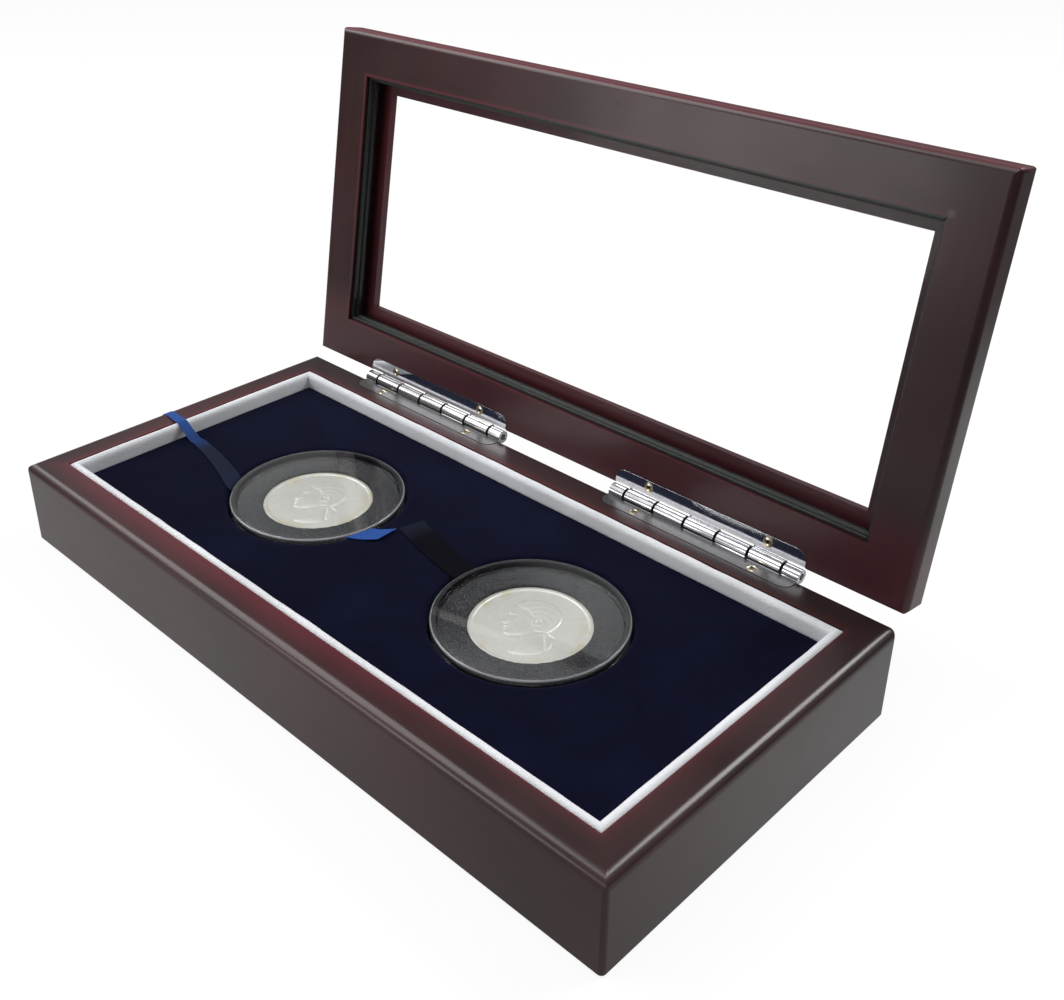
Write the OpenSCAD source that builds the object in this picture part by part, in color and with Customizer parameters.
// Display case for two coins: a mitred wooden base with a velvet insert and a glazed lid on two pinned hinges.
// Millimetres. X runs left to right, Y from front to back, Z up. The origin is the middle of the underside.
// The lid stands open, as far back as its hinges let it go.

/* [Base] */
// Outside length of the case, left to right
case_l = 172; // [160:1:240]
// Outside width of the case, front to back
case_w = 82.6; // [78:0.2:120]
// Height of the base, from the table to the rim
case_h = 20; // [18:0.5:30]
// Width of the wooden rim round the base
wall_w = 6.9; // [6.5:0.1:9]
// Radius along the upper outer edges of the base, at the front and the ends
base_edge_r = 2.2; // [0.5:0.1:3]
// Radius along the base's upper back edge, where the hinges lie
base_back_r = 0.4; // [0.2:0.1:0.8]
// Radius on the upright corners of base and lid
corner_r = 1; // [0.4:0.1:2.5]
// Thickness of the bottom board
bottom_t = 3; // [2:0.5:4]
// Width of the ledge in the walls that holds the bottom board
ledge_w = 3.4; // [2:0.1:4]
// Thickness of the felt under the base
felt_t = 0.4; // [0.3:0.1:2]
// How far the felt stays back from the outside of the base
felt_inset = 2; // [1:0.5:5]

/* [Velvet] */
// Width of the white padded liner inside the rim
liner_w = 2.1; // [1.5:0.1:3]
// How far the liner stands above the rim
liner_proud = 0.2; // [0:0.05:0.4]
// Depth of the insert's top below the rim
insert_drop = 3; // [2.5:0.1:5]
// Gap between the insert and the liner
insert_fit = 0.1; // [0.05:0.05:0.3]

/* [Coin capsules] */
// Distance between the middles of the two capsules
capsule_pitch = 64.8; // [50:0.2:74]
// Outside diameter of a capsule
capsule_d = 38.6; // [37:0.1:42]
// Height of a closed capsule
capsule_h = 6; // [5.8:0.1:7]
// How far a capsule stands above the insert
capsule_proud = 0.4; // [0:0.1:0.8]
// Gap round a capsule in its well
well_fit = 0.65; // [0.6:0.05:1]
// Gap under a capsule, room for a ribbon
seat_gap = 0.5; // [0.45:0.05:0.8]
// Thickness of a capsule's floor and of its top
pane_t = 1; // [0.8:0.1:1.3]
// Thickness of a capsule's side wall
shell_w = 1.4; // [1.2:0.1:2]
// Height at which a capsule parts, from its underside
split_h = 3.4; // [3:0.1:3.6]
// Height of the tongue that the cover snaps over
tongue_h = 0.9; // [0.6:0.1:1]
// Thickness of that tongue
tongue_w = 0.65; // [0.5:0.05:0.8]
// Gap between tongue and cover
snap_fit = 0.08; // [0.05:0.01:0.1]
// Gap between the two halves where they meet
seam_gap = 0.1; // [0.05:0.05:0.2]
// Radius on a capsule's outer edges
capsule_edge_r = 0.5; // [0.2:0.1:0.8]
// Diameter of a coin
coin_d = 24.3; // [22:0.1:30]
// Thickness of a coin
coin_t = 1.75; // [1.4:0.05:2.2]
// Width of a coin's raised rim
coin_rim_w = 0.9; // [0.5:0.1:1.5]
// Depth of a coin's field below its rim
coin_field = 0.15; // [0.05:0.05:0.25]
// Thickness of the foam ring round a coin
ring_t = 3.4; // [3:0.1:3.6]
// Depth of the coin's face below the top of the ring
coin_drop = 0.5; // [0.2:0.1:0.8]
// Gap round the coin and round the foam ring
ring_fit = 0.05; // [0.02:0.01:0.1]

/* [Lid] */
// Gap between the rim and the closed lid
lid_gap = 1; // [0.9:0.1:1.4]
// Height of the lid
lid_h = 7.6; // [7:0.1:10]
// Radius along the upper outer edges of the lid
lid_edge_r = 2.2; // [0.8:0.1:3]
// Radius along the lower outer edges of the lid, at the front and the ends
lid_foot_r = 1.4; // [0.4:0.1:2]
// Radius along the lid's lower back edge, where the hinges lie
lid_back_r = 0.4; // [0.2:0.1:0.8]
// Width of the lid's frame, from the outside to the glass rebate
rail_w = 10.4; // [9:0.1:14]
// Width of the lip that the glass lies against
lip_w = 3.8; // [2.5:0.1:6]
// Thickness of that lip
lip_t = 2.4; // [1.8:0.1:3]
// Radius on the lip's upper inner edge
lip_r = 0.8; // [0.3:0.1:1.2]
// Thickness of the glass
glass_t = 2; // [1.5:0.1:2.5]
// Gap round the edge of the glass
glass_fit = 0.3; // [0.1:0.1:0.6]
// Width of the black bead that holds the glass
bead_w = 1.3; // [1.1:0.1:1.8]
// Width of the step along the bead
bead_step = 0.5; // [0.2:0.1:0.8]
// Distance from the lid's face to the bead
bead_drop = 0.9; // [0.3:0.1:1.2]

/* [Hinges] */
// Angle between the open lid and the closed lid
open_angle = 99.5; // [0:0.5:105]
// Distance from each end of the case to its hinge
hinge_inset = 21.55; // [14:0.05:23]
// Length of a hinge
hinge_l = 47.7; // [36:0.3:56]
// Knuckles on a hinge, the two at the ends half as long as the others
knuckles = 7; // [5, 7, 9]
// Distance of the hinge's axis behind the case
axis_back = 1.55; // [1.5:0.05:2]
// Diameter of the hinge's barrel
barrel_d = 3; // [2.6:0.1:3.2]
// Diameter of the hinge pin
pin_d = 1.3; // [1:0.1:1.5]
// Radial gap between pin and knuckle
pin_fit = 0.05; // [0.03:0.01:0.08]
// Gap between two knuckles
knuckle_gap = 0.4; // [0.3:0.05:0.6]
// Thickness of a leaf
leaf_t = 0.7; // [0.5:0.05:0.8]
// Reach of a leaf from the hinge's axis
leaf_reach = 5.1; // [4.6:0.1:5.6]
// How far a leaf stands out of the wood
leaf_proud = 0.1; // [0.05:0.05:0.2]
// Radius on a leaf's corners
leaf_corner_r = 2.3; // [0.8:0.1:2.5]
// Gap round a leaf in its mortise
mortise_fit = 0.1; // [0.05:0.05:0.2]
// Distance between the two nails in a leaf
nail_pitch = 30; // [20:0.5:32]
// Distance of the nails from the hinge's axis
nail_reach = 3.65; // [3.4:0.05:3.8]
// Diameter of a nail's shank
nail_d = 1.2; // [0.8:0.1:1.4]
// Length of a nail below its head
nail_l = 5; // [3:0.5:6]
// Diameter of a nail's head
head_d = 2.3; // [1.8:0.1:2.4]
// Height of a nail's head
head_h = 0.28; // [0.15:0.01:0.3]
// Radial gap between a nail and its hole
nail_fit = 0.05; // [0.02:0.01:0.08]

/* [Ribbons] */
// Width of the lifting ribbons
ribbon_w = 6; // [4:0.5:8]
// Thickness of the lifting ribbons
ribbon_t = 0.2; // [0.1:0.05:0.2]
// Gap between a ribbon and what it lies on
ribbon_lift = 0.05; // [0.03:0.01:0.1]
// Width of the left ribbon where it is drawn in over the rim
ribbon_pinch = 2.8; // [2:0.1:3.6]
// Place of the left ribbon on the rim, from the middle of the case to the back
ribbon_y = -4.6; // [-10:0.1:4]
// How far the left ribbon strays sideways on its way to the capsule
ribbon_bow = 0.9; // [0:0.1:1.5]
// Length of ribbon that hangs down outside the left wall
ribbon_tail = 9; // [3:1:12]
// Length of the left ribbon's other end, beside its capsule
ribbon_stub = 5.8; // [3:0.1:8]
// Length of the right ribbon's free end, on the insert
ribbon_end = 21; // [8:1:26]
// Length of the right ribbon under its capsule
ribbon_under = 16; // [6:1:26]

/* [Hidden] */
$fn = 72;

// The four sides of a mitred frame, counted anticlockwise from the front
FRONT = 0;
RIGHT = 1;
BACK = 2;
LEFT = 3;

// Extra length of a shape that only cuts
cut = 1;
// Height that is more than base and lid together
tall = 2 * (case_h + lid_h);

// Levels above the table
board_z = felt_t + bottom_t;
insert_z = case_h - insert_drop;
capsule_z = insert_z + capsule_proud - capsule_h;
well_z = capsule_z - seat_gap;
lid_z = case_h + lid_gap;

// The hinge's axis lies midway between rim and lid
axis_y = case_w / 2 + axis_back;
axis_z = case_h + lid_gap / 2;

// Levels inside the lid, above its lower face
glass_z = lid_h - lip_t - glass_t;
bead_h = glass_z - bead_drop;

capsule_r = capsule_d / 2;
well_r = capsule_r + well_fit;
coin_r = coin_d / 2;
barrel_r = barrel_d / 2;
pin_r = pin_d / 2;
knuckle_l = hinge_l / (knuckles - 1);
// Distance between the middles of the two hinges
hinge_pitch = case_l - 2 * hinge_inset - hinge_l;
// Gap between a leaf and the other leaf's knuckles
notch_fit = 0.4;

mahogany = "#45232a";
velvet_white = "#e9e9ee";
velvet_navy = "#141a45";
bead_black = "#15171a";
foam_grey = "#34363a";
coin_silver = "#d6d5cf";
steel_bright = "#c9ccd2";
nail_brass = "#b9a97c";
satin_blue = "#1f4fa8";
clear_pane = [0.85, 0.92, 0.95, 0.35];

function side_length(side) = side % 2 == 0 ? case_l : case_w;
function side_offset(side) = side % 2 == 0 ? case_w / 2 : case_l / 2;

// What rounding removes from a corner at the origin, its material to the right and above
module corner_cut(r) {
    difference() {
        translate([-cut, -cut])
            square(r + cut);
        translate([r, r])
            circle(r);
    }
}

module rounded_outline(l, w, r) {
    square([l - 2 * r, w], center = true);
    square([l, w - 2 * r], center = true);
    for (x = [-1, 1], y = [-1, 1])
        translate([x * (l / 2 - r), y * (w / 2 - r)])
            circle(r);
}

// One side of a mitred frame. The child is its section: x inwards from the frame's outer face, y up
module mitred_side(side, inset = 0, z = 0) {
    l = side_length(side) - 2 * inset;
    rotate([0, 0, 90 * side])
        translate([0, inset - side_offset(side), z])
            intersection() {
                rotate([90, 0, 90])
                    translate([0, 0, -l / 2])
                        linear_extrude(l)
                            children();
                translate([0, 0, -tall / 2])
                    linear_extrude(tall)
                        polygon([[-l / 2, 0], [l / 2, 0], [0, l / 2]]);
            }
}

// A block seen from the side, standing on the x axis, with the radii of its left and right corners
module side_view(l, h, upper, lower) {
    difference() {
        translate([-l / 2, 0])
            square([l, h]);
        for (s = [0, 1])
            mirror([s, 0])
                translate([-l / 2, h])
                    mirror([0, 1])
                        corner_cut(upper[s]);
        if (lower[0] > 0)
            for (s = [0, 1])
                mirror([s, 0])
                    translate([-l / 2, 0])
                        corner_cut(lower[s]);
    }
}

// Rounds the outer edges of what it holds, base or lid: h tall from z, radii at front and ends, and at the back
module round_edges(z, h, upper, upper_back, lower, lower_back) {
    intersection() {
        children();
        translate([0, 0, z - tall / 2])
            linear_extrude(2 * tall)
                rounded_outline(case_l, case_w, corner_r);
        translate([0, case_w, z])
            rotate([90, 0, 0])
                linear_extrude(2 * case_w)
                    side_view(case_l, h, [upper, upper], [lower, lower]);
        translate([-case_l, 0, z])
            rotate([90, 0, 90])
                linear_extrude(2 * case_l)
                    side_view(case_w, h, [upper, upper_back], [lower, lower_back]);
    }
}

// Turns what is drawn with the lid closed about the hinges' axis
module opened() {
    translate([0, axis_y, axis_z])
        rotate([-open_angle, 0, 0])
            translate([0, -axis_y, -axis_z])
                children();
}

module wall_section() {
    h = case_h - felt_t;
    difference() {
        square([wall_w, h]);
        translate([wall_w - ledge_w, -cut])
            square([ledge_w + cut, bottom_t + cut]);
    }
}

module base_wall(side) {
    color(mahogany)
        round_edges(felt_t, case_h - felt_t, base_edge_r, base_back_r, 0, 0)
            mitred_side(side, 0, felt_t)
                wall_section();
}

module base_back_wall() {
    color(mahogany)
        difference() {
            base_wall(BACK);
            at_hinges()
                leaf_seat();
        }
}

module bottom_board() {
    inset = wall_w - ledge_w;
    color("#6b4a35")
        translate([inset - case_l / 2, inset - case_w / 2, felt_t])
            cube([case_l - 2 * inset, case_w - 2 * inset, bottom_t]);
}

module bottom_felt() {
    color("#17181c")
        linear_extrude(felt_t)
            rounded_outline(case_l - 2 * felt_inset, case_w - 2 * felt_inset, corner_r);
}

module liner_section() {
    h = case_h + liner_proud - board_z;
    r = liner_w / 2;
    square([liner_w, h - r]);
    translate([r, h - r])
        circle(r);
}

module liner(side) {
    color(velvet_white)
        mitred_side(side, wall_w, board_z)
            liner_section();
}

module insert_outline() {
    inset = wall_w + liner_w + insert_fit;
    square([case_l - 2 * inset, case_w - 2 * inset], center = true);
}

module insert_block() {
    color(velvet_navy)
        translate([0, 0, board_z])
            linear_extrude(well_z - board_z)
                insert_outline();
}

module insert_board() {
    color(velvet_navy)
        difference() {
            translate([0, 0, well_z])
                linear_extrude(insert_z - well_z)
                    insert_outline();
            for (x = [-1, 1])
                translate([x * capsule_pitch / 2, 0, well_z - cut])
                    cylinder(insert_z - well_z + 2 * cut, r = well_r);
        }
}

// Places a capsule or a piece of it in the left well, x = -1, or the right one, x = 1
module in_well(x) {
    translate([x * capsule_pitch / 2, 0, capsule_z])
        children();
}

module capsule_base() {
    color(clear_pane)
        rotate_extrude()
            difference() {
                union() {
                    square([capsule_r, pane_t]);
                    translate([capsule_r - shell_w, 0])
                        square([shell_w, split_h]);
                    translate([capsule_r - shell_w, 0])
                        square([tongue_w, split_h + tongue_h]);
                }
                translate([capsule_r, 0])
                    mirror([1, 0])
                        corner_cut(capsule_edge_r);
            }
}

module capsule_cover() {
    skirt_w = shell_w - tongue_w - snap_fit;
    skirt_z = split_h + seam_gap;
    wall_z = split_h + tongue_h + seam_gap;
    color(clear_pane)
        rotate_extrude()
            difference() {
                union() {
                    translate([0, capsule_h - pane_t])
                        square([capsule_r, pane_t]);
                    translate([capsule_r - skirt_w, skirt_z])
                        square([skirt_w, capsule_h - skirt_z]);
                    translate([capsule_r - shell_w, wall_z])
                        square([shell_w, capsule_h - wall_z]);
                }
                translate([capsule_r, capsule_h])
                    mirror([1, 0])
                        mirror([0, 1])
                            corner_cut(capsule_edge_r);
            }
}

module foam_ring() {
    color(foam_grey)
        translate([0, 0, pane_t])
            difference() {
                cylinder(ring_t, r = capsule_r - shell_w - ring_fit);
                translate([0, 0, -cut])
                    cylinder(ring_t + 2 * cut, r = coin_r + ring_fit);
            }
}

module coin() {
    color(coin_silver)
        translate([0, 0, pane_t + ring_t - coin_drop - coin_t])
            rotate_extrude()
                difference() {
                    square([coin_r, coin_t]);
                    translate([-cut, -cut])
                        square([coin_r - coin_rim_w + cut, coin_field + cut]);
                    translate([-cut, coin_t - coin_field])
                        square([coin_r - coin_rim_w + cut, coin_field + cut]);
                }
}

module lid_section() {
    difference() {
        square([rail_w + lip_w, lid_h]);
        translate([rail_w, -cut])
            square([lip_w + cut, lid_h - lip_t + cut]);
        translate([rail_w + lip_w, lid_h])
            mirror([1, 0])
                mirror([0, 1])
                    corner_cut(lip_r);
    }
}

// One side of the lid's frame, drawn with the lid closed
module lid_side(side) {
    round_edges(lid_z, lid_h, lid_edge_r, lid_edge_r, lid_foot_r, lid_back_r)
        mitred_side(side, 0, lid_z)
            lid_section();
}

module lid_rail(side) {
    color(mahogany)
        opened()
            lid_side(side);
}

module lid_back_rail() {
    color(mahogany)
        opened()
            difference() {
                lid_side(BACK);
                at_hinges()
                    mirror([0, 0, 1])
                        leaf_seat();
            }
}

module lid_glass() {
    inset = rail_w + glass_fit;
    color(clear_pane)
        opened()
            translate([inset - case_l / 2, inset - case_w / 2, lid_z + glass_z])
                cube([case_l - 2 * inset, case_w - 2 * inset, glass_t]);
}

module bead_section() {
    square([bead_w - bead_step, bead_h]);
    translate([0, bead_h / 2])
        square([bead_w, bead_h / 2]);
}

module bead(side) {
    color(bead_black)
        opened()
            mitred_side(side, rail_w, lid_z + bead_drop)
                bead_section();
}

// Places a hinge piece, drawn round the hinge's middle on its axis, at the left or right hinge or at both
module at_hinge(x) {
    translate([x * hinge_pitch / 2, axis_y, axis_z])
        children();
}

module at_hinges() {
    for (x = [-1, 1])
        at_hinge(x)
            children();
}

// A base leaf's faces, measured from the axis
leaf_top = leaf_proud - lid_gap / 2;
leaf_foot = leaf_top - leaf_t;

module leaf_outline(grow = 0) {
    l = hinge_l + 2 * grow;
    reach = leaf_reach + grow;
    r = leaf_corner_r + grow;
    translate([r - l / 2, -reach])
        square([l - 2 * r, reach]);
    translate([-l / 2, r - reach])
        square([l, reach - r]);
    for (x = [-1, 1])
        translate([x * (l / 2 - r), r - reach])
            circle(r);
}

module nail_holes(depth) {
    for (x = [-1, 1])
        translate([x * nail_pitch / 2, -nail_reach, leaf_top - depth])
            cylinder(depth + cut, r = nail_d / 2 + nail_fit);
}

// What the wood gives up to a leaf, its nails and the barrel
module leaf_seat() {
    translate([0, 0, leaf_foot])
        linear_extrude(leaf_t + cut)
            leaf_outline(mortise_fit);
    nail_holes(nail_l + nail_fit);
}

// Where knuckle i starts, counted from the left end
function knuckle_start(i) = i == 0 ? -hinge_l / 2 : (i - 0.5) * knuckle_l - hinge_l / 2;
function knuckle_end(i) = i == knuckles - 1 ? hinge_l / 2 : knuckle_start(i + 1);
// The ends of knuckle i's roll
function roll_start(i) = knuckle_start(i) + (i == 0 ? 0 : knuckle_gap / 2);
function roll_end(i) = knuckle_end(i) - (i == knuckles - 1 ? 0 : knuckle_gap / 2);
// The ends of the slot in the other leaf that clears knuckle i
function slot_start(i) = knuckle_start(i) - (i == 0 ? cut : knuckle_gap / 2);
function slot_end(i) = knuckle_end(i) + (i == knuckles - 1 ? cut : knuckle_gap / 2);

// A leaf with every second knuckle, the first of them knuckle 0 or 1
module hinge_leaf(first) {
    notch = barrel_r + notch_fit;
    color(steel_bright)
        difference() {
            union() {
                difference() {
                    translate([0, 0, leaf_foot])
                        linear_extrude(leaf_t)
                            leaf_outline();
                    for (i = [1 - first:2:knuckles - 1])
                        translate([slot_start(i), -notch, -tall / 2])
                            cube([slot_end(i) - slot_start(i), 2 * notch, tall]);
                }
                for (i = [first:2:knuckles - 1])
                    translate([roll_start(i), 0, 0])
                        rotate([0, 90, 0])
                            cylinder(roll_end(i) - roll_start(i), r = barrel_r);
            }
            translate([-hinge_l / 2 - cut, 0, 0])
                rotate([0, 90, 0])
                    cylinder(hinge_l + 2 * cut, r = pin_r + pin_fit);
            nail_holes(leaf_t + cut);
        }
}

module hinge_base_leaf(x) {
    at_hinge(x)
        hinge_leaf(0);
}

module hinge_lid_leaf(x) {
    opened()
        at_hinge(x)
            mirror([0, 0, 1])
                hinge_leaf(1);
}

module hinge_pin(x) {
    color(steel_bright)
        at_hinge(x)
            translate([-hinge_l / 2, 0, 0])
                rotate([0, 90, 0])
                    cylinder(hinge_l, r = pin_r);
}

// A domed nail with a dimple in its head, drawn with the head's underside at the origin
module nail() {
    r = head_d / 2;
    dome_r = (r * r + head_h * head_h) / (2 * head_h);
    rotate_extrude()
        intersection() {
            translate([0, head_h - dome_r])
                circle(dome_r);
            square([r, head_h]);
        }
    translate([0, 0, -nail_l])
        cylinder(nail_l, r = nail_d / 2);
}

module leaf_nails() {
    for (x = [-1, 1])
        translate([x * nail_pitch / 2, -nail_reach, leaf_top])
            nail();
}

module base_hinge_nails() {
    color(nail_brass)
        at_hinges()
            leaf_nails();
}

module lid_hinge_nails() {
    color(nail_brass)
        opened()
            at_hinges()
                mirror([0, 0, 1])
                    leaf_nails();
}

// Height of a ribbon's middle above what it lies on
ribbon_off = ribbon_lift + ribbon_t / 2;
on_insert = insert_z + ribbon_off;
on_floor = well_z + ribbon_off;
// Where a well's edge passes under a ribbon's sides, and where the ribbon goes down to the well's floor
side_r = sqrt(well_r * well_r - ribbon_w * ribbon_w / 4);
down_r = (capsule_r + side_r) / 2;
// Radius of a ribbon's bend on that floor
floor_bend = 2 * ribbon_t;
// Middle of the left liner's rounded top, and the radius of the ribbon's bend over it
liner_x = wall_w + liner_w / 2 - case_l / 2;
crown_z = case_h + liner_proud - liner_w / 2;
crown_bend = liner_w / 2 + ribbon_off + ribbon_t;
// Bearings of the places where the ribbons cross the wells' edges
left_in = 212;
left_out = 348;
right_in = 176;

function between(a, b, t) = a + (b - a) * t;
function reversed(points) = [for (i = [len(points) - 1:-1:0]) points[i]];

// Points on an arc in an upright plane: how far along, and the level
function arc(x, z, r, from, to, steps) =
    [for (i = [0:steps])
        let (a = between(from, to, i / steps))
        [x + r * cos(a), z + r * sin(a)]];

// A ribbon's way down into a well: distance from the well's middle, and the level
way_down = concat(
    arc(side_r, insert_z, side_r - down_r, 90, 180, 3),
    arc(down_r - floor_bend, on_floor + floor_bend, floor_bend, 0, -90, 2)
);

// A point of a ribbon at a bearing round the left well, x = -1, or the right one: x, y, z, heading and width
function round_well(x, r, bearing, z, heading, w = ribbon_w) =
    [x * capsule_pitch / 2 + r * cos(bearing), r * sin(bearing), z, heading, w];

function down_well(x, points, bearing, heading) =
    [for (p = points) round_well(x, p[0], bearing, p[1], heading)];

// Where the left ribbon comes down on the insert, and where it reaches its well
landing = [liner_x + 2 * insert_drop + ribbon_pinch / 2, ribbon_y - ribbon_bow / 2, on_insert];
brink = place(round_well(-1, side_r, left_in, on_insert, 0));

// Each ribbon's route from its free end
left_route = concat(
    [[-case_l / 2 - ribbon_off, ribbon_y, case_h - ribbon_tail, 0, ribbon_w]],
    [for (p = arc(base_edge_r - case_l / 2, case_h - base_edge_r, base_edge_r + ribbon_off, 180, 90, 4))
        [p[0], ribbon_y, p[1], 0, ribbon_pinch]],
    [for (p = arc(liner_x, crown_z, crown_bend, 105, 55, 3))
        [p[0], ribbon_y - ribbon_bow, p[1], -6, ribbon_pinch + ribbon_bow / 2]],
    [for (t = [0.35, 0.75])
        [between(liner_x + liner_w / 2, landing[0], t), ribbon_y - ribbon_bow,
            between(crown_z + crown_bend, on_insert, sin(90 * t)), -8,
            between(ribbon_pinch, ribbon_w, t / 2)]],
    [for (t = [0:0.2:0.8])
        let (p = between(landing, brink, t))
        [p[0], p[1] + ribbon_bow * sin(180 * t), p[2], between(-10, left_in - 180, t * t * t),
            between(ribbon_pinch, ribbon_w, between(0.5, 1, t))]],
    down_well(-1, way_down, left_in, left_in - 180),
    [for (t = [0.25:0.25:0.75])
        round_well(-1, down_r * between(0.7, 0.45, sin(180 * t)), between(left_in, left_out, t),
            on_floor, between(left_in - 180, left_out - 360, t))],
    down_well(-1, reversed(way_down), left_out, left_out - 360),
    [for (t = [0.3, 0.6, 1])
        round_well(-1, side_r + ribbon_stub * t, left_out + 9 * t, on_insert + 2 * ribbon_t * t * t,
            between(left_out - 360, 45, t))]
);
right_route = concat(
    [for (t = [0:0.2:0.8])
        round_well(1, side_r + ribbon_end * (1 - t), between(right_in - 4.2, right_in, t), on_insert,
            between(-13, right_in - 180, t))],
    down_well(1, way_down, right_in, right_in - 180),
    [for (t = [0.5, 1])
        round_well(1, down_r - floor_bend - ribbon_under * t, right_in, on_floor, right_in - 180)]
);

function place(p) = [p[0], p[1], p[2]];
function run(route, i) =
    let (d = place(route[min(i + 1, len(route) - 1)]) - place(route[max(i - 1, 0)]))
    d / norm(d);
function across(p) = [-sin(p[3]), cos(p[3]), 0];
// The four corners of a ribbon's section at point i
function section(route, i) =
    let (
        side = across(route[i]) * route[i][4] / 2,
        up = cross(run(route, i), across(route[i])),
        rise = up / norm(up) * ribbon_t / 2,
        p = place(route[i])
    )
    [p - side - rise, p + side - rise, p + side + rise, p - side + rise];

// The two triangles between corners a and b of one section and the same corners of the next
function ribbon_quad(a, b) = [[a, a + 4, b + 4], [a, b + 4, b]];

module ribbon(route) {
    n = len(route);
    color(satin_blue)
        polyhedron(
            [for (i = [0:n - 1]) each section(route, i)],
            concat(
                [[0, 1, 2], [0, 2, 3]],
                [for (i = [0:n - 2], k = [0:3])
                    each ribbon_quad(4 * i + k, 4 * i + (k + 1) % 4)],
                [[4 * n - 1, 4 * n - 2, 4 * n - 3], [4 * n - 1, 4 * n - 3, 4 * n - 4]]
            ),
            convexity = 4
        );
}

base_wall(FRONT);  // base_front_wall
base_wall(RIGHT);  // base_right_wall
base_back_wall();
base_wall(LEFT);  // base_left_wall
bottom_board();
bottom_felt();
liner(FRONT);  // liner_front
liner(RIGHT);  // liner_right
liner(BACK);  // liner_back
liner(LEFT);  // liner_left
insert_block();
insert_board();
ribbon(left_route);  // ribbon_left
ribbon(right_route);  // ribbon_right
in_well(-1) capsule_base();  // left_capsule_base
in_well(-1) capsule_cover();  // left_capsule_cover
in_well(-1) foam_ring();  // left_foam_ring
in_well(-1) coin();  // left_coin
in_well(1) capsule_base();  // right_capsule_base
in_well(1) capsule_cover();  // right_capsule_cover
in_well(1) foam_ring();  // right_foam_ring
in_well(1) coin();  // right_coin
lid_rail(FRONT);  // lid_front_rail
lid_rail(RIGHT);  // lid_right_stile
lid_back_rail();
lid_rail(LEFT);  // lid_left_stile
lid_glass();
bead(FRONT);  // bead_front
bead(RIGHT);  // bead_right
bead(BACK);  // bead_back
bead(LEFT);  // bead_left
hinge_base_leaf(-1);  // left_hinge_base_leaf
hinge_lid_leaf(-1);  // left_hinge_lid_leaf
hinge_pin(-1);  // left_hinge_pin
hinge_base_leaf(1);  // right_hinge_base_leaf
hinge_lid_leaf(1);  // right_hinge_lid_leaf
hinge_pin(1);  // right_hinge_pin
base_hinge_nails();
lid_hinge_nails();
